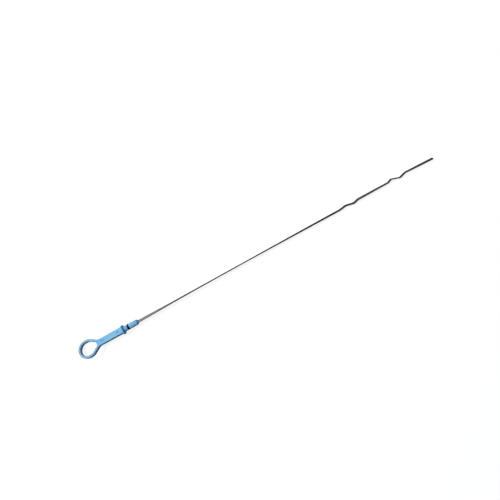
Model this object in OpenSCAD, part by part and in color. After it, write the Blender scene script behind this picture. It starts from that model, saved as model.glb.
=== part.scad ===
// Engine oil dipstick: a moulded plastic handle with a teardrop finger loop, a rubber seal ring and a long
// twisted steel strip with two kinks. It lies on a flat surface, as it comes to rest.
// Millimetres. The origin is the middle of the collar's seat, +X runs along the plug towards the strip's tip.

/* [Finger loop] */
// Outer radius of the loop's round end
loop_r = 14.9; // [13:0.1:18]
// How much longer than round the loop is
loop_oval = 2.1; // [0:0.1:4]
// Width of the bar that the loop is made of
loop_bar = 4; // [2.8:0.1:4.4]
// Thickness of the loop
loop_t = 6.8; // [4:0.1:7]
// Angle at which each side of the loop runs in to the shank
loop_taper = 34; // [28:1:40]
// Radius of the hole's nose, next to the shank
loop_nose_r = 5.6; // [2.5:0.1:6]
// Radius of the fillet between the loop and the shank
loop_fillet_r = 10; // [6:0.5:12]
// Distance from the collar's seat to the far end of the loop
handle_len = 80.7; // [76:0.1:95]

/* [Shank] */
// Width of the shank at the loop
shank_w = 10.5; // [8:0.1:11]
// Width of the shank at the collar
shank_end_w = 10.9; // [9:0.1:12]
// Thickness of the shank at the collar
shank_end_t = 7.6; // [6:0.1:8.5]
// Radius on the long edges of the loop and the shank
edge_r = 1.2; // [0.6:0.1:1.5]
// Distance from the collar's seat to the middle of the near and the far pocket in the shank's face
pocket_x = [10.4, 36.8]; // [8:0.2:42]
// Length, width and depth of each pocket
pocket_size = [6.4, 2.6, 0.9]; // [0.5:0.1:8]

/* [Collar and plug] */
// Diameter of the collar that caps the tube
collar_d = 15.3; // [13:0.1:17]
// Thickness of the collar's rim
collar_t = 3; // [1.8:0.1:3.6]
// Length over which the shank flares out to the collar
flare_len = 6.5; // [4:0.5:9]
// Diameter of the plug that goes into the tube
plug_d = 9.2; // [8.8:0.1:9.8]
// Length of the plug from the collar's seat to its nose
plug_len = 26.2; // [22:0.1:32]
// Radius of the plug's nose
nose_r = 3.4; // [1:0.1:3.6]

/* [Seal ring] */
// Distance from the collar's seat to the middle of the ring
ring_x = 8.5; // [6:0.05:12]
// Thickness of the ring's round section
ring_section = 2.3; // [1.8:0.05:2.4]
// Diameter of the groove's floor
groove_d = 5.6; // [5.6:0.1:6.4]
// Width of the groove
groove_w = 3; // [2.4:0.1:3]

/* [Strip] */
// Distance from the collar's seat to the strip's tip
strip_len = 567; // [540:1:640]
// Width of the strip
strip_w = 4.8; // [4:0.1:5]
// Thickness of the strip
strip_t = 1.5; // [1:0.1:1.6]
// How far the strip's root reaches past the collar's seat into the shank
root_len = 14; // [10:1:20]
// Diameter of the keying hole in the root
key_d = 2; // [1.5:0.1:2.5]
// Side bow of the long straight stretch
strip_bow = 0.55; // [0:0.05:1]
// Sag of the strip under its own weight, as it lies
strip_sag = 0.6; // [0:0.05:1]
// Places of the three turns in the upper stretch
turn_x = [92, 135, 220]; // [40:1:380]
// Turn from the loop's normal at the plug and at those three places
turn_upper = [65, 34, 27, 23.5]; // [-45:0.5:90]
// Turn before and past the first kink, and before and past the second
turn_lower = [43, 53.5, 38, 38.5]; // [-45:0.5:90]
// Turn near the tip
turn_tip = 50; // [-45:0.5:90]
// Where the two kinks start, from the collar's seat
kink_x = [395.4, 485.2]; // [380:0.1:500]
// Lengths of the first kink's three ramps
kink_a_run = [11.6, 14, 8.2]; // [4:0.1:20]
// Side steps of the first kink's three ramps
kink_a_step = [1.9, -3.4, 2.7]; // [-6:0.05:6]
// Lengths of the second kink's three ramps
kink_b_run = [5.7, 15.1, 10.2]; // [4:0.1:20]
// Side steps of the second kink's three ramps
kink_b_step = [2.9, -5.05, 3.55]; // [-6:0.05:6]
// Side offset of the strip where each kink starts, and at the tip
strip_side = [-0.35, 0.55, 0.1]; // [-2:0.05:2]

/* [Hidden] */

blue = [0.49, 0.75, 0.95];
black = [0.04, 0.05, 0.06];
steel = [0.62, 0.62, 0.63];

round_steps = 4;                  // steps in each rounded edge of the swept forms
fine = 96;
collar_chamfer = 0.45;
strip_chamfer = 0.4;
tip_round = 1.2;

// Loop: centres of its round end and of its shoulders, and where the fillets meet the shank
far_x = -(handle_len - loop_r);
near_x = far_x + loop_oval;
hole_r = loop_r - loop_bar;
side_turn = 90 - loop_taper;      // direction of the straight side's normal
fillet_x = near_x + (loop_r + loop_fillet_r - (shank_w / 2 + loop_fillet_r) * sin(side_turn)) / cos(side_turn);
hole_nose_x = near_x + (hole_r - loop_nose_r) / cos(side_turn);

// Strip: the points where its side offset changes
kink_a_side = [strip_side[0], strip_side[0] + kink_a_step[0], strip_side[0] + kink_a_step[0] + kink_a_step[1],
    strip_side[0] + kink_a_step[0] + kink_a_step[1] + kink_a_step[2]];
kink_b_side = [strip_side[1], strip_side[1] + kink_b_step[0], strip_side[1] + kink_b_step[0] + kink_b_step[1],
    strip_side[1] + kink_b_step[0] + kink_b_step[1] + kink_b_step[2]];
kink_a_end = kink_x[0] + kink_a_run[0] + kink_a_run[1] + kink_a_run[2];
kink_b_end = kink_x[1] + kink_b_run[0] + kink_b_run[1] + kink_b_run[2];
bend_half = 1.6;                  // half the length over which each bend of a kink is eased
free_x = plug_len + 4;            // the strip starts to turn past the plug's nose

side_table = [[free_x, 0],
    [kink_x[0], kink_a_side[0]],
    [kink_x[0] + kink_a_run[0], kink_a_side[1]],
    [kink_x[0] + kink_a_run[0] + kink_a_run[1], kink_a_side[2]],
    [kink_a_end, kink_a_side[3]],
    [kink_x[1], kink_b_side[0]],
    [kink_x[1] + kink_b_run[0], kink_b_side[1]],
    [kink_x[1] + kink_b_run[0] + kink_b_run[1], kink_b_side[2]],
    [kink_b_end, kink_b_side[3]],
    [strip_len, strip_side[2]]];
turn_table = [[free_x, turn_upper[0]],
    [turn_x[0], turn_upper[1]],
    [turn_x[1], turn_upper[2]],
    [turn_x[2], turn_upper[3]],
    [kink_x[0], turn_lower[0]],
    [kink_a_end, turn_lower[1]],
    [kink_x[1], turn_lower[2]],
    [kink_b_end, turn_lower[3]],
    [strip_len - 22, turn_tip]];

// Rest: the collar's rim, the low edge of the loop and the strip's lowest place touch the surface together
function low_at(x) = let (lean = lookup(x, turn_table) - 21.3)     // the strip's lean from upright, as it lies
    strip_w / 2 * cos(lean) + (strip_t / 2 - strip_chamfer) * abs(sin(lean)) - eased(x, side_table) * sin(lean)
    + sag(x);
rest_pitch = min([for (x = [kink_x[0] : strip_len - tip_round]) atan((collar_d / 2 - low_at(x)) / x)]);
loop_reach = loop_r - edge_r;
loop_half = loop_t / 2 - edge_r;
loop_height = collar_d / 2 - near_x * tan(rest_pitch) - edge_r;
rest_roll = asin(loop_height / norm([loop_reach, loop_half])) - atan2(loop_half, loop_reach);

// Joins a list of closed rings, all with the same number of points, into one surface. Twisted sides are split
// into flat triangles.
function ring_sides(rings, count, wrap, twisted) = [
    for (i = [0 : len(rings) - (wrap ? 1 : 2)], j = [0 : count - 1])
    let (next = (i + 1) % len(rings), k = (j + 1) % count,
        side = [i * count + j, next * count + j, next * count + k, i * count + k])
    each twisted ? [[side[0], side[1], side[2]], [side[0], side[2], side[3]]] : [side]];
function ring_caps(rings, count) = [[for (j = [0 : count - 1]) j],
    [for (j = [count - 1 : -1 : 0]) (len(rings) - 1) * count + j]];

module skin(rings, wrap = false, twisted = false) {
    count = len(rings[0]);
    polyhedron(points = [for (ring = rings) each ring],
        faces = wrap ? ring_sides(rings, count, true, twisted)
            : concat(ring_sides(rings, count, false, twisted), ring_caps(rings, count)), convexity = 6);
}

// Outline of a rectangle with rounded corners, from -w/2 to w/2 and -t/2 to t/2
function soft_box(w, t, r) = [for (c = [0 : 3], s = [0 : round_steps])
    let (a = 90 * c + 90 * s / round_steps, sx = (c == 0 || c == 3) ? 1 : -1, sy = c < 2 ? 1 : -1)
    [sx * (w / 2 - r) + r * cos(a), sy * (t / 2 - r) + r * sin(a)]];

// Upper half of the loop's outline, from the far end to the middle of the shank, and of its hole
function arc(x, y, r, from, to, steps) = [for (s = [0 : steps]) let (a = from + (to - from) * s / steps)
    [x + r * cos(a), y + r * sin(a)]];
loop_outer = concat(arc(far_x, 0, loop_r, 180, 90, 9), arc(near_x, 0, loop_r, 90, side_turn, 4),
    arc(fillet_x, shank_w / 2 + loop_fillet_r, loop_fillet_r, 180 + side_turn, 270, 5),
    [for (s = [1 : 3]) [fillet_x, shank_w / 2 * (1 - s / 3)]]);
loop_inner = concat(arc(far_x, 0, hole_r, 180, 90, 9), arc(near_x, 0, hole_r, 90, side_turn, 4),
    [for (s = [1 : 2]) let (from = arc(near_x, 0, hole_r, side_turn, side_turn, 1)[0],
        to = arc(hole_nose_x, 0, loop_nose_r, side_turn, side_turn, 1)[0]) from + (to - from) * s / 3],
    arc(hole_nose_x, 0, loop_nose_r, side_turn, 0, 6));

// Section of the loop's bar between a point of the hole and a point of the outline
function bar_ring(inner, outer) = let (middle = (inner + outer) / 2, w = norm(outer - inner), u = (outer - inner) / w)
    [for (p = soft_box(w, loop_t, edge_r)) [middle[0] + u[0] * p[0], middle[1] + u[1] * p[0], p[1]]];

module finger_loop() {
    last = len(loop_outer) - 1;
    upper = [for (i = [0 : last]) bar_ring(loop_inner[i], loop_outer[i])];
    lower = [for (i = [last - 1 : -1 : 1])
        bar_ring([loop_inner[i][0], -loop_inner[i][1]], [loop_outer[i][0], -loop_outer[i][1]])];
    skin(concat(upper, lower), wrap = true);
}

// Shank: a rounded bar that thickens towards the collar
module shank() {
    from = fillet_x - 3.5;
    to = -collar_t / 2;
    steps = 8;
    skin([for (s = [0 : steps]) let (f = s / steps, x = from + (to - from) * f,
        t = loop_t - 0.1 + (shank_end_t - loop_t + 0.1) * f, w = shank_w + (shank_end_w - shank_w) * f)
        [for (p = soft_box(w, t, edge_r * (1 + 0.6 * f))) [x, p[0], p[1]]]]);
}

module along_x() rotate([0, 90, 0]) children();

// Collar with its flare, and the plug with its groove and nose, turned about the plug's axis
module turned_end() {
    flare_r = 3.2;
    rim_r = collar_d / 2;
    neck_r = rim_r - 0.7;
    groove_lo = ring_x - groove_w / 2;
    groove_hi = ring_x + groove_w / 2;
    flare_steps = 8;
    flare = [for (s = [0 : flare_steps]) let (a = 90 * s / flare_steps)
        [flare_r + (neck_r - flare_r) * (1 - cos(a)), -collar_t - flare_len * (1 - sin(a))]];
    nose = [for (s = [0 : 6]) let (a = 90 * s / 6)
        [plug_d / 2 - nose_r + nose_r * cos(a), plug_len - nose_r + nose_r * sin(a)]];
    along_x() rotate_extrude($fn = fine) polygon(concat(
        [[0, -collar_t - flare_len]], flare,
        [[rim_r - collar_chamfer, -collar_t], [rim_r, -collar_t + collar_chamfer],
        [rim_r, -collar_chamfer], [rim_r - collar_chamfer, 0], [plug_d / 2, 0],
        [plug_d / 2, groove_lo], [groove_d / 2, groove_lo], [groove_d / 2, groove_hi], [plug_d / 2, groove_hi]],
        nose, [[0, plug_len]]));
}

// Shallow pocket in the shank's face, with rounded ends
module pocket(x) {
    depth = pocket_size[2];
    reach = pocket_size[0] / 2 - pocket_size[1] / 2;
    face = loop_t / 2 + (shank_end_t - loop_t) / 2 * (1 + x / -fillet_x);
    translate([x, 0, face - depth]) {
        translate([-reach, -pocket_size[1] / 2, 0]) cube([2 * reach, pocket_size[1], 2 * depth]);
        for (side = [-1, 1]) translate([side * reach, 0, 0]) cylinder(d = pocket_size[1], h = 2 * depth, $fn = 48);
    }
}

// Section of the strip: a flat bar with its edges eased, width w
function strip_outline(w) = let (a = strip_t / 2, b = w / 2, c = min(strip_chamfer, w / 2 - 0.1))
    [[a, -b + c], [a, b - c], [a - c, b], [-a + c, b], [-a, b - c], [-a, -b + c], [-a + c, -b], [a - c, -b]];

function eased(x, table) = (lookup(x - bend_half, table) + 2 * lookup(x - bend_half / 2, table)
    + 2 * lookup(x, table) + 2 * lookup(x + bend_half / 2, table) + lookup(x + bend_half, table)) / 8;
function bow(x) = x < free_x || x > kink_x[0] ? 0
    : strip_bow * sin(180 * (x - free_x) / (kink_x[0] - free_x));
function sag(x) = x < free_x ? 0 : strip_sag * sin(180 * (x - free_x) / (strip_len - free_x));

// One ring of the strip at x: moved along its own normal, turned about the plug's axis and let down by the sag
function strip_at(x, w) = let (turn = lookup(x, turn_table), side = eased(x, side_table) + bow(x))
    [for (p = strip_outline(w)) let (n = p[0] + side)
        [x, n * cos(turn) - p[1] * sin(turn) + sag(x) * sin(rest_roll),
        n * sin(turn) + p[1] * cos(turn) - sag(x) * cos(rest_roll)]];

function spread(from, to, step) = let (count = ceil((to - from) / step))
    [for (s = [0 : count - 1]) from + (to - from) * s / count];
kink_step = 1.6;
strip_x = concat([-root_len], spread(plug_len, kink_x[0] - bend_half, 12),
    spread(kink_x[0] - bend_half, kink_a_end + bend_half, kink_step),
    spread(kink_a_end + bend_half, kink_x[1] - bend_half, 9),
    spread(kink_x[1] - bend_half, kink_b_end + bend_half, kink_step),
    spread(kink_b_end + bend_half, strip_len - tip_round, 9));
tip_x = [for (s = [0 : 4]) let (a = 90 * s / 4) [strip_len - tip_round * (1 - sin(a)), tip_round * (1 - cos(a))]];

module key_pin() rotate([turn_upper[0], 0, 0]) translate([-root_len / 2, 0, 0])
    rotate([0, 90, 0]) cylinder(d = key_d, h = 3 * strip_t, center = true, $fn = 48);

// The straight root that the handle is moulded round
module root(past = 0) difference() {
    skin([for (x = [-root_len, plug_len + past]) strip_at(x, strip_w)]);
    key_pin();
}

module at_rest() rotate([0, rest_pitch, 0]) rotate([-rest_roll, 0, 0]) children();

module handle() color(blue) at_rest() difference() {
    union() {
        finger_loop();
        shank();
        turned_end();
    }
    for (x = pocket_x) pocket(-x);
    root(past = 2);
}

module o_ring() color(black) at_rest() along_x() rotate_extrude($fn = fine) intersection() {
    translate([groove_d / 2 + ring_section / 2 - 0.1, ring_x]) circle(d = ring_section, $fn = 48);
    translate([groove_d / 2, ring_x - ring_section]) square(2 * ring_section);
}

module blade() color(steel) at_rest() difference() {
    skin(concat([for (x = strip_x) strip_at(x, strip_w)], [for (t = tip_x) strip_at(t[0], strip_w - 2 * t[1])]),
        twisted = true);
    key_pin();
}

handle();
o_ring();
blade();
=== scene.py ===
import math

import bmesh
import bpy
from mathutils import Matrix, Vector


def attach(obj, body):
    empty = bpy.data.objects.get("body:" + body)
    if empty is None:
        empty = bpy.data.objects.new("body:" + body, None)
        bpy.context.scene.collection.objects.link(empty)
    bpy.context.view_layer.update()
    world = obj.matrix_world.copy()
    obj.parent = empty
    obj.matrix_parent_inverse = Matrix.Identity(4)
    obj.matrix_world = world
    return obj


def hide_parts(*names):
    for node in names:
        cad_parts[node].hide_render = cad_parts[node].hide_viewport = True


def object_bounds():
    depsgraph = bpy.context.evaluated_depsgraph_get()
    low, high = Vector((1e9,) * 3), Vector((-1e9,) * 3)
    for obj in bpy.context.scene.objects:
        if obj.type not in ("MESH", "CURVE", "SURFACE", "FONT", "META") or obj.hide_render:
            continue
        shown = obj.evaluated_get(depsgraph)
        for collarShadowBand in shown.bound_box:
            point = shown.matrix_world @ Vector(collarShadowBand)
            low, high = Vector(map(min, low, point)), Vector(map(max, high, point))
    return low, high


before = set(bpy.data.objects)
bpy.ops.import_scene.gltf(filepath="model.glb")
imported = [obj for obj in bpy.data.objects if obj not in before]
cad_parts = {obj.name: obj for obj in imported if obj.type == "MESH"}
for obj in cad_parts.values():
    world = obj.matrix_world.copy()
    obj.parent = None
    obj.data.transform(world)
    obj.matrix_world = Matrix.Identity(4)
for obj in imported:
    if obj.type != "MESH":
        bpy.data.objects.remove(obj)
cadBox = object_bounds()
print("frame loaded:", ", ".join(sorted(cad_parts)))

mm = 0.001
quarterTurn = math.radians(90)
fullTurn = math.radians(360)
sharpFrom = math.radians(60)     # edges that turn by more than this are softened
scene = bpy.context.scene

# how the stick lies: the plug dips towards the tip and the loop leans on one edge
lying = {
    "pitch": 0.528,         # degrees, nose down
    "roll": 21.35,          # degrees, the loop's +Y side down
}
atRest = (Matrix.Rotation(math.radians(lying["pitch"]), 4, "Y")
          @ Matrix.Rotation(-math.radians(lying["roll"]), 4, "X"))


# a socket that can be used in sums and products
class Wire:
    def __init__(self, finish, socket):
        self.finish = finish
        self.socket = socket

    def maths(self, operation, *values):
        return self.finish.node("ShaderNodeMath", {"operation": operation}, dict(enumerate(values)))

    def __add__(self, other):
        return self.maths("ADD", self, other)

    __radd__ = __add__

    def __sub__(self, other):
        return self.maths("SUBTRACT", self, other)

    def __rsub__(self, other):
        return self.maths("SUBTRACT", other, self)

    def __mul__(self, other):
        return self.maths("MULTIPLY", self, other)

    __rmul__ = __mul__

    def __neg__(self):
        return 0 - self

    def __abs__(self):
        return self.maths("ABSOLUTE", self)


# the nodes of one material, or of the world
class Finish:
    def __init__(self, owner):
        self.owner = owner
        owner.use_nodes = True
        self.tree = owner.node_tree
        self.tree.nodes.clear()

    def node(self, kind, settings=None, inputs=None, output=0):
        made = self.tree.nodes.new(kind)
        for key, value in (settings or {}).items():
            setattr(made, key, value)
        for key, value in (inputs or {}).items():
            if isinstance(value, Wire):
                self.tree.links.new(value.socket, made.inputs[key])
            else:
                made.inputs[key].default_value = value
        return Wire(self, made.outputs[output]) if made.outputs else None

    def place(self):
        return self.node("ShaderNodeTexCoord", output="Object")

    # object coordinates turned into the stick's own: X along the plug, Z square to the loop
    def stickPlace(self):
        place = self.place()
        for turnAxis, degrees in (((0, 1, 0), -lying["pitch"]), ((1, 0, 0), lying["roll"])):
            place = self.node("ShaderNodeVectorRotate", {"rotation_type": "AXIS_ANGLE"},
                              {"Vector": place, "Axis": turnAxis, "Angle": math.radians(degrees)})
        return place

    def axis(self, vector, letter):
        return self.node("ShaderNodeSeparateXYZ", inputs={0: vector}, output=letter)

    def stretched(self, vector, scale):
        return self.node("ShaderNodeVectorMath", {"operation": "MULTIPLY"}, {0: vector, 1: scale})

    def noise(self, vector, scale, detail, roughness=0.5):
        return self.node("ShaderNodeTexNoise", {"noise_dimensions": "3D"},
                         {"Vector": vector, "Scale": scale, "Detail": detail, "Roughness": roughness})

    # 0 below low, 1 above high
    def ramp(self, value, low, high):
        return self.node("ShaderNodeMapRange", {"interpolation_type": "SMOOTHSTEP"},
                         {"Value": value, "From Min": low, "From Max": high})

    # 0 to 1 becomes low to high
    def between(self, value, low, high):
        return self.node("ShaderNodeMapRange", inputs={"Value": value, "To Min": low, "To Max": high})

    def blend(self, factor, first, second):
        return self.node("ShaderNodeMix", {"data_type": "RGBA"}, {0: factor, 6: first, 7: second}, output=2)

    # a colour laid where the mask is 1, thinner and thicker as the smears go; used for wear, painted shade and
    # painted sheen
    def coated(self, colour, mask, smear, coat):
        tone, thinnest, thickest = coat
        return self.blend(mask * self.between(smear, thinnest, thickest), colour, tone)

    # 1 inside an ellipsoid with these full sizes, fading out over its last third
    def near(self, vector, centre, sizes):
        away = self.node("ShaderNodeVectorMath", {"operation": "SUBTRACT"}, {0: vector, 1: centre})
        scaled = self.stretched(away, tuple(2 / size for size in sizes))
        length = self.node("ShaderNodeVectorMath", {"operation": "LENGTH"}, {0: scaled}, output="Value")
        return 1 - self.ramp(length, 0.66, 1.05)

    def bump(self, height, distance, strength, under=None):
        inputs = {"Height": height, "Distance": distance, "Strength": strength}
        if under:
            inputs["Normal"] = under
        return self.node("ShaderNodeBump", inputs=inputs)

    def surface(self, inputs):
        shaded = self.node("ShaderNodeBsdfPrincipled", inputs=inputs)
        self.node("ShaderNodeOutputMaterial", inputs={"Surface": shaded})
        return self.owner

    # second for the camera, reflections and glass, first for light that falls on the object
    def splitByRay(self, first, second, outputKind):
        rays = [self.node("ShaderNodeLightPath", output=name)
                for name in ("Is Camera Ray", "Is Glossy Ray", "Is Transmission Ray")]
        direct = self.node("ShaderNodeClamp", inputs={0: rays[0] + rays[1] + rays[2]})
        mixed = self.node("ShaderNodeMixShader", inputs={0: direct, 1: first, 2: second})
        self.node(outputKind, inputs={"Surface": mixed})
        return self.owner


# a colour as it reads on screen, 0 to 255, turned into Blender's linear values
def screen(red, green, blue):
    def linear(value):
        value /= 255
        return value / 12.92 if value <= 0.04045 else ((value + 0.055) / 1.055) ** 2.4
    return (linear(red), linear(green), linear(blue), 1)


plasticLook = {
    "face": screen(133, 196, 237),                   # clean moulded plastic
    "shade": screen(108, 180, 228),                  # where the colour runs thicker
    "shadeSpan": (0.35, 0.75),
    # colours laid over the plastic, painted shade and sheen among them: colour, thinnest and thickest cover
    "wornSheen": (screen(148, 180, 201), 0.35, 0.9),      # paler on the loop's flat faces: painted sheen, and wear where fingers hold the loop
    "seat": (screen(84, 178, 244), 0.6, 1),          # painted shadow of the collar on the plug, darkest in the corner
    "wallShade": (screen(86, 122, 144), 0.5, 1.2),     # painted shade on the shank's side walls
    "pocketShade": (screen(70, 142, 164), 0.3, 0.9),       # painted shade in the pockets, tinted greener
    "wornSheenFrom": (44 * mm, 56 * mm),                  # behind the collar
    "wornSheenUp": (1 * mm, 3 * mm),                      # from the parting line: the painted sheen stays off the walls
    "seatFrom": (-0.4 * mm, -0.1 * mm),              # along the plug
    "seatTo": (0.8 * mm, 4.4 * mm),
    "wallShadeFrom": (3 * mm, 6 * mm),                 # behind the collar
    "wallShadeOut": (4.8 * mm, 5.3 * mm),              # from the shank's middle
    "pocketShadeDepth": 3 * mm,
    "gloss": (0.42, 0.58),                           # roughness from and to
    "shine": 0.16,
    "flow": 90,                                      # scales: cloudy flow marks, smears, moulded grain
    "smear": 360,
    "grain": 2600,
    "flowStretch": (0.5, 1, 1),                      # the flow marks run along the handle
    "partingWidth": 0.16 * mm,
    # reliefs: height and strength
    "grainRelief": (0.02 * mm, 0.35),
    "flowRelief": (0.1 * mm, 0.4),
    "partingRelief": (0.08 * mm, 0.8),
}


def makePlastic(look):
    finish = Finish(bpy.data.materials.new("mouldedBluePlastic"))
    here = finish.stickPlace()
    along = finish.axis(here, "X")
    out, up = (abs(finish.axis(here, letter)) for letter in "YZ")
    flow = finish.noise(finish.stretched(here, look["flowStretch"]), look["flow"], detail=4)
    grain = finish.noise(here, look["grain"], detail=2)
    smear = finish.noise(here, look["smear"], detail=5, roughness=0.6)
    offSeam = finish.ramp(up, *look["wornSheenUp"])
    # the loop's flat faces paler: painted sheen, with wear
    sheenOnFaces = finish.ramp(-along, *look["wornSheenFrom"]) * offSeam
    # a band on the plug next to the collar: painted shadow
    collarShadowBand = finish.ramp(along, *look["seatFrom"]) * (1 - finish.ramp(along, *look["seatTo"]))
    # the shank's side walls darker: painted shade
    shadedWall = finish.ramp(out, *look["wallShadeOut"]) * finish.ramp(-along, *look["wallShadeFrom"])
    shadedWall = shadedWall * (1 - sheenOnFaces) * (1 - offSeam)
    colour = finish.blend(finish.ramp(flow, *look["shadeSpan"]), look["face"], look["shade"])
    for mask, coat in ((sheenOnFaces, "wornSheen"), (collarShadowBand, "seat"), (shadedWall, "wallShade")):
        colour = finish.coated(colour, mask, smear, look[coat])
    # darker and greener inside the pockets: painted shade
    for place in pockets["places"]:
        inside = finish.near(here, (place, 0, loop["thick"] / 2),
                             (pockets["length"], pockets["width"], look["pocketShadeDepth"]))
        colour = finish.coated(colour, inside, smear, look["pocketShade"])
    parting = 1 - finish.ramp(up, 0, look["partingWidth"])
    normal = finish.bump(grain, *look["grainRelief"])
    normal = finish.bump(flow, *look["flowRelief"], normal)
    normal = finish.bump(parting, *look["partingRelief"], normal)
    return finish.surface({
        "Base Color": colour,
        "Roughness": finish.between(smear, *look["gloss"]),
        "Specular IOR Level": look["shine"],
        "Normal": normal,
    })


rubberLook = {
    "black": screen(5, 8, 12),
    "dusty": screen(15, 20, 27),
    "dustSpan": (0.5, 0.8),
    "dust": 900,                             # scale of the dusty bloom
    "gloss": (0.3, 0.55),
    "shine": 0.06,
    "relief": (0.03 * mm, 0.4),
}


def makeRubber(look):
    finish = Finish(bpy.data.materials.new("sealRubber"))
    dust = finish.noise(finish.place(), look["dust"], detail=4)
    return finish.surface({
        "Base Color": finish.blend(finish.ramp(dust, *look["dustSpan"]), look["black"], look["dusty"]),
        "Roughness": finish.between(dust, *look["gloss"]),
        "Specular IOR Level": look["shine"],
        "Normal": finish.bump(dust, *look["relief"]),
    })


steelLook = {
    "bright": screen(150, 145, 146),         # rolled face next to the plug
    "edge": screen(32, 27, 24),              # slit edge
    "dull": screen(28, 22, 20),              # darker steel further down
    "tip": screen(76, 61, 60),               # browner past the first kink
    "oil": screen(98, 92, 66),               # old oil left behind the first kink
    "darkSpan": (62 * mm, 142 * mm),        # along the strip, as are the next three
    "tipSpan": (370 * mm, 410 * mm),
    "oilStart": (420 * mm, 428 * mm),
    "oilEnd": (455 * mm, 485 * mm),
    "drift": 50 * mm,                        # how unevenly the darkening begins
    "lateDrift": 0.3,                        # share of that drift near the tip
    "oilSpan": (0.3, 0.6),                   # blotches that hold the oil
    "oilCover": 0.6,
    "oilCoat": 0.12,
    "scratch": (60, 1500, 1500),             # rolling marks: long along X, fine across
    "blotch": 120,                           # scale of the blotches
    "blotchSpan": (0.3, 0.7),
    "scratchTone": (0.62, 1.4),              # darkest and palest share of the colour
    "blotchTone": (0.88, 1.3),
    "bare": 0.5,                             # how metallic it looks, and how much less where darker
    "darkenedLess": 0.49,
    "gloss": (0.45, 0.68),
    "shine": 0.02,
    "rim": (0.35, 0.35, 0.35, 1),            # keeps a grazing look at the metal from turning white
    "relief": (0.02 * mm, 0.5),
}


def makeSteel(name, look, fresh):
    finish = Finish(bpy.data.materials.new(name))
    here = finish.place()
    along = finish.axis(here, "X")
    rolled = finish.noise(finish.stretched(here, look["scratch"]), scale=1, detail=5, roughness=0.65)
    blotch = finish.noise(here, look["blotch"], detail=4, roughness=0.6)
    drift = (blotch - 0.5) * look["drift"]
    late = along + drift * look["lateDrift"]
    # the steel darker and less metallic further down the strip
    darkened = finish.ramp(along + drift, *look["darkSpan"])
    oily = finish.ramp(late, *look["oilStart"]) * (1 - finish.ramp(late, *look["oilEnd"]))
    colour = finish.blend(darkened, fresh, look["dull"])
    colour = finish.blend(finish.ramp(late, *look["tipSpan"]), colour, look["tip"])
    colour = finish.blend(oily * finish.ramp(blotch, *look["oilSpan"]) * look["oilCover"], colour, look["oil"])
    tone = finish.between(rolled, *look["scratchTone"])
    tone = tone * finish.between(finish.ramp(blotch, *look["blotchSpan"]) * darkened, *look["blotchTone"])
    colour = finish.node("ShaderNodeVectorMath", {"operation": "SCALE"}, {0: colour, "Scale": tone})
    return finish.surface({
        "Base Color": colour,
        "Metallic": look["bare"] - darkened * look["darkenedLess"],
        "Roughness": finish.between(rolled, *look["gloss"]),
        "Specular IOR Level": look["shine"],
        "Specular Tint": look["rim"],
        "Coat Weight": oily * look["oilCoat"],
        "Normal": finish.bump(rolled, *look["relief"]),
    })


def objectFrom(name, shape, materials):
    mesh = bpy.data.meshes.new(name)
    shape.to_mesh(mesh)
    shape.free()
    made = bpy.data.objects.new(name, mesh)
    scene.collection.objects.link(made)
    for material in materials:
        mesh.materials.append(material)
    return made


def smooth(piece, angle):
    for face in piece.data.polygons:
        face.use_smooth = True
    piece.data.set_sharp_from_angle(angle=math.radians(angle))


def cleaned(shape, distance=0.002 * mm):
    bmesh.ops.remove_doubles(shape, verts=shape.verts, dist=distance)
    bmesh.ops.recalc_face_normals(shape, faces=shape.faces)


def softened(shape, width, segments):
    sharp = [edge for edge in shape.edges
             if len(edge.link_faces) == 2 and edge.calc_face_angle(0) > sharpFrom]
    bmesh.ops.bevel(shape, geom=sharp, offset=width, offset_type="OFFSET", segments=segments,
                    profile=0.5, affect="EDGES", material=-1, clamp_overlap=True)


def joined(first, second, operation):
    step = first.modifiers.new("join", "BOOLEAN")
    step.object = second
    step.operation = operation
    step.solver = "MANIFOLD"
    graph = bpy.context.evaluated_depsgraph_get()
    mesh = bpy.data.meshes.new_from_object(first.evaluated_get(graph))
    first.modifiers.remove(step)
    old = first.data
    first.data = mesh
    bpy.data.meshes.remove(old)
    bpy.data.objects.remove(second)


def only(items, kind):
    return [item for item in items if isinstance(item, kind)]


def grown(shape, edges):
    return only(bmesh.ops.extrude_edge_only(shape, edges=edges)["geom"], bmesh.types.BMEdge)


loop = {
    "far": -65.8 * mm,       # centre of the round end
    "near": -63.7 * mm,      # centre of the shoulders
    "outer": 14.9 * mm,
    "bar": 4 * mm,
    "thick": 6.8 * mm,
    "sideTurn": 56,          # degrees, where a shoulder becomes the straight side
    "nose": 5.6 * mm,        # radius of the hole's end at the shank
    "fillet": 10 * mm,
    "edge": 1.2 * mm,
    "arcSteps": 26,
    "webSteps": 18,
}
shank = {
    "width": 10.5 * mm,
    "endWidth": 10.9 * mm,   # at the collar
    "endThick": 7.6 * mm,
    "end": -1.5 * mm,
    "steps": 16,
}


# where the fillets have run out and the shank begins
def shankStart():
    turn = math.radians(loop["sideTurn"])
    half = shank["width"] / 2
    rise = loop["outer"] + loop["fillet"] - (half + loop["fillet"]) * math.sin(turn)
    return loop["near"] + rise / math.cos(turn)


# 0 up to the shank's start, 1 at its end
def alongShank(x):
    start = shankStart()
    return max(0, (x - start) / (shank["end"] - start))


def arcPoint(x, y, radius, degrees):
    turn = math.radians(degrees)
    return Vector((x + radius * math.cos(turn), y + radius * math.sin(turn), 0))


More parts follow.
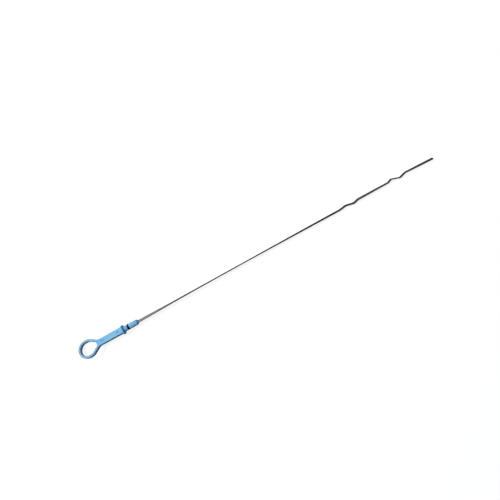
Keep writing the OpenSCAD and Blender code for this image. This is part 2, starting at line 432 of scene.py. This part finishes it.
# the web between the loop's hole and its outline, from a shoulder to the shank's middle
def webPoints():
    hole = loop["outer"] - loop["bar"]
    half = shank["width"] / 2
    side = loop["sideTurn"]
    noseX = loop["near"] + (hole - loop["nose"]) / math.cos(math.radians(side))
    filletX, filletY = shankStart(), half + loop["fillet"]
    inner = [arcPoint(loop["near"], 0, hole, side)]
    outer = [arcPoint(loop["near"], 0, loop["outer"], side)]
    straight = loop["webSteps"] // 3
    noseFrom = arcPoint(noseX, 0, loop["nose"], side)
    filletFrom = arcPoint(filletX, filletY, loop["fillet"], 180 + side)
    for step in range(1, straight + 1):
        inner.append(inner[0].lerp(noseFrom, step / straight))
        outer.append(outer[0].lerp(filletFrom, step / straight))
    bent = loop["webSteps"] - straight
    for step in range(1, bent + 1):
        part = step / bent
        inner.append(arcPoint(noseX, 0, loop["nose"], side * (1 - part)))
        # the fillet takes two thirds of these steps, and the others cross to the middle
        bend = part * 1.5
        outer.append(arcPoint(filletX, filletY, loop["fillet"], 180 + side + (90 - side) * min(1, bend)))
        if bend > 1:
            outer[-1].y = half * (1 - (bend - 1) / 0.5)
    return inner, outer


# the last edge's two corners, in the order of these two points
def nearAndFar(verts, near, far):
    first, second = verts
    straight = (first.co - near).length + (second.co - far).length
    crossed = (second.co - near).length + (first.co - far).length
    return (first, second) if straight <= crossed else (second, first)


# half of the loop, flat, from its far end to a shoulder
def sweepLoop(shape):
    start = shape.verts.new((loop["far"] - loop["outer"] + loop["bar"], 0, 0))
    end = shape.verts.new((loop["far"] - loop["outer"], 0, 0))
    last = [shape.edges.new((start, end))]
    arcs = ((loop["far"], 90, loop["arcSteps"]),
            (loop["near"], 90 - loop["sideTurn"], loop["arcSteps"] // 3))
    for centre, turn, steps in arcs:
        swept = bmesh.ops.spin(shape, geom=list(last[0].verts) + last, cent=(centre, 0, 0), axis=(0, 0, -1),
                               dvec=(0, 0, 0), angle=math.radians(turn), steps=steps)
        last = only(swept["geom_last"], bmesh.types.BMEdge)
        if centre == loop["far"]:
            last = grown(shape, last)
            bmesh.ops.translate(shape, vec=(loop["near"] - loop["far"], 0, 0), verts=last[0].verts[:])
    return last


def growWeb(shape, last):
    inner, outer = webPoints()
    for near, far in zip(inner[1:], outer[1:]):
        last = grown(shape, last)
        corners = nearAndFar(last[0].verts, near, far)
        corners[0].co, corners[1].co = near, far


# the web's flat end runs on to the collar
def growShank(shape):
    start = shankStart()
    flat = [edge for edge in shape.edges if edge.is_boundary
            and all(abs(vert.co.x - start) < 0.001 * mm for vert in edge.verts)]
    run = (shank["end"] - start) / shank["steps"]
    for _ in range(shank["steps"]):
        flat = grown(shape, flat)
        bmesh.ops.translate(shape, vec=(run, 0, 0), verts=list({vert for edge in flat for vert in edge.verts}))
    wider = shank["endWidth"] / shank["width"] - 1
    for vert in shape.verts:
        vert.co.y *= 1 + wider * alongShank(vert.co.x)


def makeLoopAndShank():
    shape = bmesh.new()
    growWeb(shape, sweepLoop(shape))
    growShank(shape)
    twin = bmesh.ops.duplicate(shape, geom=shape.verts[:] + shape.edges[:] + shape.faces[:])["geom"]
    bmesh.ops.scale(shape, vec=(1, -1, 1), verts=only(twin, bmesh.types.BMVert))
    cleaned(shape)
    bmesh.ops.translate(shape, vec=(0, 0, -loop["thick"] / 2), verts=shape.verts)
    top = bmesh.ops.extrude_face_region(shape, geom=shape.faces[:])["geom"]
    bmesh.ops.translate(shape, vec=(0, 0, loop["thick"]), verts=only(top, bmesh.types.BMVert))
    thicker = shank["endThick"] / loop["thick"] - 1
    for vert in shape.verts:
        vert.co.z *= 1 + thicker * alongShank(vert.co.x)
    bmesh.ops.recalc_face_normals(shape, faces=shape.faces)
    softened(shape, loop["edge"], 5)
    cleaned(shape)
    return shape


plug = {
    "rim": 7.65 * mm,        # radius of the collar
    "rimThick": 3 * mm,
    "flare": 6.5 * mm,       # length of the flare behind it
    "neck": 6.95 * mm,
    "root": 3.2 * mm,
    "radius": 4.6 * mm,
    "length": 26.2 * mm,
    "nose": 3.4 * mm,
    "ringX": 8.5 * mm,
    "grooveWidth": 3 * mm,
    "grooveRadius": 2.8 * mm,
    "edge": 0.35 * mm,
    "flareSteps": 12,
    "noseSteps": 6,
    "turns": 96,
}


# one full turn about the plug's axis
def turned(shape):
    bmesh.ops.spin(shape, geom=shape.verts[:] + shape.edges[:], cent=(0, 0, 0), axis=(1, 0, 0), dvec=(0, 0, 0),
                   angle=fullTurn, steps=plug["turns"], use_merge=True)
    cleaned(shape)


def makeTurnedEnd():
    shape = bmesh.new()
    back = -plug["rimThick"]
    line = [(back - plug["flare"], 0)]
    for step in range(plug["flareSteps"] + 1):
        turn = quarterTurn * step / plug["flareSteps"]
        line.append((back - plug["flare"] * (1 - math.sin(turn)),
                     plug["root"] + (plug["neck"] - plug["root"]) * (1 - math.cos(turn))))
    low = plug["ringX"] - plug["grooveWidth"] / 2
    high = plug["ringX"] + plug["grooveWidth"] / 2
    line += [(back, plug["rim"]), (0, plug["rim"]), (0, plug["radius"]), (low, plug["radius"]),
             (low, plug["grooveRadius"]), (high, plug["grooveRadius"]), (high, plug["radius"])]
    for step in range(plug["noseSteps"] + 1):
        turn = quarterTurn * step / plug["noseSteps"]
        line.append((plug["length"] - plug["nose"] + plug["nose"] * math.sin(turn),
                     plug["radius"] - plug["nose"] + plug["nose"] * math.cos(turn)))
    line.append((plug["length"], 0))
    verts = [shape.verts.new((x, y, 0)) for x, y in line]
    for pair in zip(verts, verts[1:]):
        shape.edges.new(pair)
    turned(shape)
    softened(shape, plug["edge"], 3)
    cleaned(shape)
    return shape


pockets = {
    "places": (-10.4 * mm, -36.8 * mm),
    "length": 6.4 * mm,
    "width": 2.6 * mm,
    "depth": 0.9 * mm,
}


def makePocket(place):
    shape = bmesh.new()
    bmesh.ops.create_uvsphere(shape, u_segments=32, v_segments=16, radius=1)
    bmesh.ops.scale(shape, vec=(pockets["width"] / 2, pockets["width"] / 2, pockets["depth"]), verts=shape.verts)
    reach = (pockets["length"] - pockets["width"]) / 2
    for vert in shape.verts:
        vert.co.x += reach if vert.co.x > 0 else -reach
    face = loop["thick"] / 2 + (shank["endThick"] - loop["thick"]) / 2 * alongShank(place)
    bmesh.ops.translate(shape, vec=(place, 0, face), verts=shape.verts)
    return shape


seal = {
    "radius": 1.15 * mm,     # of the ring's section
    "stretch": 0.1 * mm,     # flattened this much on the groove's floor
    "sides": 24,
}


def makeRing():
    shape = bmesh.new()
    bmesh.ops.create_circle(shape, segments=seal["sides"], radius=seal["radius"])
    bmesh.ops.translate(shape, vec=(plug["ringX"], plug["grooveRadius"] + seal["radius"] - seal["stretch"], 0),
                        verts=shape.verts)
    for vert in shape.verts:
        vert.co.y = max(vert.co.y, plug["grooveRadius"])
    turned(shape)
    return shape


# in millimetres and degrees
strip = {
    "length": 567.0,
    "width": 4.8,
    "thick": 1.5,
    "film": 0.08,            # old oil and dirt on every side
    "chamfer": 0.4,
    "free": 30.2,            # from here on it is clear of the handle
    "root": -14.0,           # the end that the handle is moulded round
    "bow": 0.55,             # sideways, up to the first kink
    "sag": 0.6,              # down at the middle
    "turnAt": (92, 135, 220),
    "turnUpper": (65, 34, 27, 23.5),                 # where it comes free and at those places
    "turnLower": (43, 53.5, 38, 38.5, 50),           # at both ends of both kinks and near the tip
    "kinkAt": (395.4, 485.2),
    "kinkRuns": ((11.6, 14, 8.2), (5.7, 15.1, 10.2)),            # lengths of each kink's three ramps
    "kinkSteps": ((1.9, -3.4, 2.7), (2.9, -5.05, 3.55)),         # and how far each steps sideways
    "side": (-0.35, 0.55, 0.1),                      # before the kinks, between them and at the tip
    "bend": 1.6,             # reach of the easing on each side of a bend
    "tipRun": 22,            # the turn is steady over this last length
    "tipRound": 1.2,
    "tipSteps": 6,
    "coarse": 4,             # spacing of the sections, and finer near a kink
    "fine": 0.6,
    "margin": 2,
}


def kinkSpans():
    return [(start, start + sum(runs)) for start, runs in zip(strip["kinkAt"], strip["kinkRuns"])]


def sideTable():
    table = [(strip["free"], 0)]
    for x, runs, steps, side in zip(strip["kinkAt"], strip["kinkRuns"], strip["kinkSteps"], strip["side"]):
        table.append((x, side))
        for run, step in zip(runs, steps):
            x += run
            side += step
            table.append((x, side))
    table.append((strip["length"], strip["side"][2]))
    return table


def turnTable():
    places = [strip["free"], *strip["turnAt"]]
    for span in kinkSpans():
        places += span
    places.append(strip["length"] - strip["tipRun"])
    return list(zip(places, strip["turnUpper"] + strip["turnLower"]))


def lookUp(x, table):
    if x <= table[0][0]:
        return table[0][1]
    for (x0, y0), (x1, y1) in zip(table, table[1:]):
        if x <= x1:
            return y0 + (y1 - y0) * (x - x0) / (x1 - x0)
    return table[-1][1]


def sideAt(x, table):
    weights = ((-1, 1), (-0.5, 2), (0, 2), (0.5, 2), (1, 1))
    eased = sum(weight * lookUp(x + strip["bend"] * part, table) for part, weight in weights) / 8
    if strip["free"] < x < strip["kinkAt"][0]:
        part = (x - strip["free"]) / (strip["kinkAt"][0] - strip["free"])
        eased += strip["bow"] * math.sin(math.pi * part)
    return eased


# where a point of the strip's section comes to lie at x, narrower at the tip
def laid(point, x, narrowing, sides, turns):
    turn, roll = math.radians(lookUp(x, turns)), math.radians(lying["roll"])
    across = point.z * (1 - 2 * narrowing / strip["width"])
    out = point.y + sideAt(x, sides)
    part = max(0, (x - strip["free"]) / (strip["length"] - strip["free"]))
    drop = strip["sag"] * math.sin(math.pi * part)
    return Vector((x, out * math.cos(turn) - across * math.sin(turn) + drop * math.sin(roll),
                   out * math.sin(turn) + across * math.cos(turn) - drop * math.cos(roll))) * mm


# a fresh end face's corners lie on those of the last section: each takes over its point
def paired(end, last):
    return [(vert, min(last, key=lambda pair: (pair[0].co - vert.co).length)[1]) for vert in end.verts]


# the places of the sections along the strip, each with its narrowing
def stripPlaces():
    stretches = [(strip["root"], strip["free"], strip["free"] - strip["root"])]
    reached = strip["free"]
    for kinkStart, kinkEnd in kinkSpans():
        low, high = kinkStart - strip["margin"], kinkEnd + strip["margin"]
        stretches += [(reached, low, strip["coarse"]), (low, high, strip["fine"])]
        reached = high
    stretches.append((reached, strip["length"] - strip["tipRound"], strip["coarse"]))
    places = []
    for start, end, spacing in stretches:
        count = math.ceil((end - start) / spacing)
        places += [(start + (end - start) * index / count, 0) for index in range(count)]
    for step in range(strip["tipSteps"] + 1):
        turn = quarterTurn * step / strip["tipSteps"]
        places.append((strip["length"] - strip["tipRound"] * (1 - math.sin(turn)),
                       strip["tipRound"] * (1 - math.cos(turn))))
    return places


def makeStrip():
    shape = bmesh.new()
    sides, turns = sideTable(), turnTable()
    bmesh.ops.create_grid(shape, x_segments=1, y_segments=1, size=0.5)
    bmesh.ops.scale(shape, vec=(strip["thick"] + 2 * strip["film"], strip["width"] + 2 * strip["film"], 1),
                    verts=shape.verts)
    bmesh.ops.bevel(shape, geom=shape.verts[:], offset=strip["chamfer"], offset_type="OFFSET", segments=3,
                    profile=0.5, affect="VERTICES", material=-1)
    bmesh.ops.rotate(shape, matrix=Matrix(((0, 0, 1), (1, 0, 0), (0, 1, 0))), verts=shape.verts)
    end = shape.faces[:][0]
    points = [vert.co.copy() for vert in end.verts]
    sections = []
    for x, narrowing in stripPlaces():
        if sections:
            fresh = bmesh.ops.extrude_face_region(shape, geom=[end])["geom"]
            if len(sections) > 1:      # only the root's own end face stays
                bmesh.ops.delete(shape, geom=[end], context="FACES_ONLY")
            end = only(fresh, bmesh.types.BMFace)[0]
            sections.append(paired(end, sections[-1]))
        else:
            sections.append(list(zip(end.verts, points)))
        for vert, point in sections[-1]:
            vert.co = laid(point, x, narrowing, sides, turns)
    # the slit edges get the second material
    shape.normal_update()
    for face in shape.faces:
        turn = math.radians(lookUp(face.calc_center_median().x / mm, turns))
        slit = Vector((0, -math.sin(turn), math.cos(turn)))
        face.material_index = 1 if abs(face.normal.dot(slit)) > 0.8 else 0
    cleaned(shape, 0.0005 * mm)
    return shape


def finishPiece(piece, node, smoothTo):
    piece.data.transform(atRest)
    smooth(piece, smoothTo)
    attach(piece, "root")
    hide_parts(node)
    print("made", piece.name, "with", len(piece.data.polygons), "faces")


plastic = makePlastic(plasticLook)
rubber = makeRubber(rubberLook)
steelFace = makeSteel("rolledSteelFace", steelLook, steelLook["bright"])
steelEdge = makeSteel("slitSteelEdge", steelLook, steelLook["edge"])
print("materials ready")

handle = objectFrom("handleMoulding", makeLoopAndShank(), [plastic])
joined(handle, objectFrom("turnedEnd", makeTurnedEnd(), []), "UNION")
for place in pockets["places"]:
    joined(handle, objectFrom("pocket", makePocket(place), []), "DIFFERENCE")
joined(handle, objectFrom("slotCutter", makeStrip(), []), "DIFFERENCE")
finishPiece(handle, "handle", smoothTo=32)
blade = objectFrom("steelStrip", makeStrip(), [steelFace, steelEdge])
finishPiece(blade, "blade", smoothTo=50)
ring = objectFrom("sealRing", makeRing(), [rubber])
finishPiece(ring, "o_ring", smoothTo=60)


camera = {
    "over": (0.23768, 0.01337),      # the point that the camera looks straight down on
    "height": 0.688,                 # above the plug's axis
    "lens": 30.96,
    "sensor": 36,
    "turn": -28.97,                  # degrees, so that the stick points up to the right
    "nearest": 0.01,
}


def makeCamera():
    data = bpy.data.cameras.new("camera")
    data.lens = camera["lens"]
    data.sensor_width = camera["sensor"]
    data.clip_start = camera["nearest"]
    made = bpy.data.objects.new("camera", data)
    made.location = (*camera["over"], camera["height"])
    made.rotation_euler = (0, 0, math.radians(camera["turn"]))
    scene.collection.objects.link(made)
    scene.camera = made


paper = {
    "seen": 0.3,             # what the camera and reflections meet, and how far it is lifted to white
    "lift": 0.86,
    "bounce": 0.16,          # what the object's underside meets
    "size": 8.0,
}


def makeFloor():
    finish = Finish(bpy.data.materials.new("paperFloor"))
    dull, pale = (finish.node("ShaderNodeBsdfDiffuse", inputs={"Color": (paper[grey],) * 3 + (1,)})
                  for grey in ("bounce", "seen"))
    lift = finish.node("ShaderNodeEmission", inputs={"Strength": paper["lift"]})
    white = finish.node("ShaderNodeAddShader", inputs={0: pale, 1: lift})
    material = finish.splitByRay(dull, white, "ShaderNodeOutputMaterial")
    shape = bmesh.new()
    bmesh.ops.create_grid(shape, x_segments=1, y_segments=1, size=paper["size"] / 2)
    bmesh.ops.translate(shape, vec=(camera["over"][0], 0, cadBox[0][2]), verts=shape.verts)
    objectFrom("paperFloor", shape, [material])


lamps = (
    # name, place, power, size: the big soft light stands up and left in the picture, on the handle's side
    ("softKey", (-0.68, 1.0, 1.45), 31.5, 0.9),
    ("weakFill", (0.9, -1.4, 1.6), 1.2, 1.8),
)
room = {
    "light": (0.5, 0.78, 1, 1),
    "strength": 0.15,
    "seen": (1, 1, 1, 1),
}


def makeLights():
    target = Vector((camera["over"][0], 0, 0))
    for name, place, power, size in lamps:
        data = bpy.data.lights.new(name, "AREA")
        data.energy = power
        data.size = size
        made = bpy.data.objects.new(name, data)
        made.location = place
        made.rotation_euler = (target - Vector(place)).to_track_quat("-Z", "Y").to_euler()
        scene.collection.objects.link(made)
    finish = Finish(bpy.data.worlds.new("softRoom"))
    glow = finish.node("ShaderNodeBackground", inputs={"Color": room["light"], "Strength": room["strength"]})
    white = finish.node("ShaderNodeBackground", inputs={"Color": room["seen"]})
    scene.world = finish.splitByRay(glow, white, "ShaderNodeOutputWorld")


makeCamera()
makeFloor()
makeLights()
scene.view_settings.view_transform = "Standard"
print("camera, floor and lights ready")
